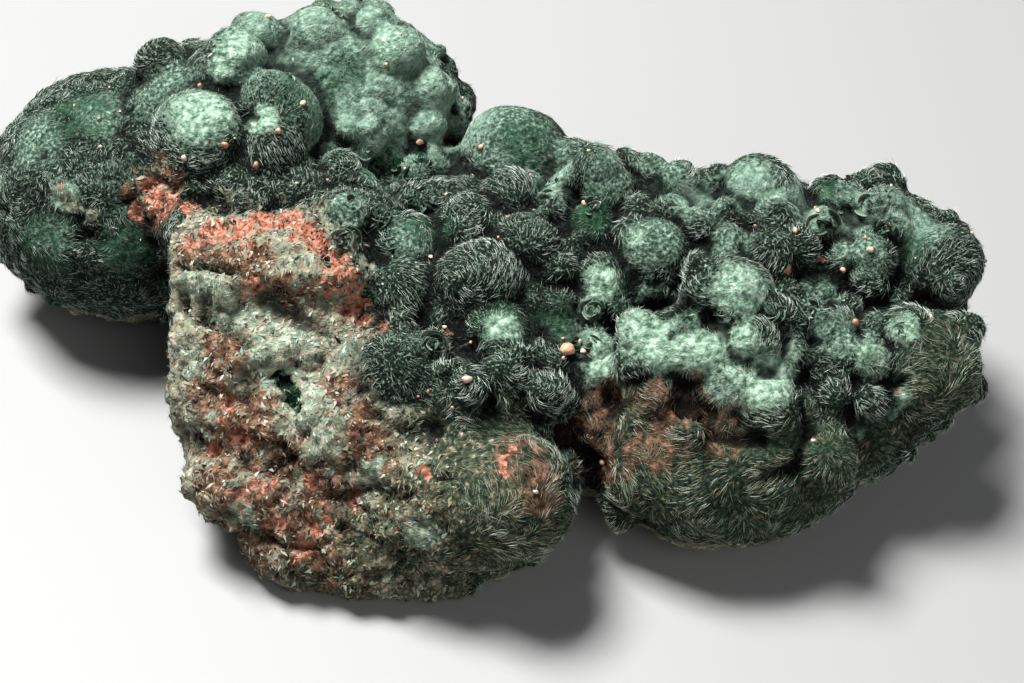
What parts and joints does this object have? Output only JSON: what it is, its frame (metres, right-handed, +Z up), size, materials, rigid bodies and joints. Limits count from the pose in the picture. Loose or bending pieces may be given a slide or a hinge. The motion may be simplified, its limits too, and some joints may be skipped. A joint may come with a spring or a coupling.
{
  "type": "atacamite specimen",
  "caption": "Botryoidal atacamite: rounded lobes of dark green fibrous crust covered with small balls, with a broken flank of orange-brown earthy matrix in ledges.",
  "frame": {"origin": "on the ground, under the middle of the stone's bounding box", "axes": "+X along the stone's length, from the smooth lobe to the forked end; +Y away from the broken flank; +Z up"},
  "size_m": [0.101, 0.0676, 0.0312],
  "materials": {
    "crust": "velvety dark green fibrous crust with pale green caps, beige and orange earthy matrix on the broken flank"
  },
  "bodies": {
    "root": {"atacamite_specimen": "crust"}
  },
  "joints": []
}
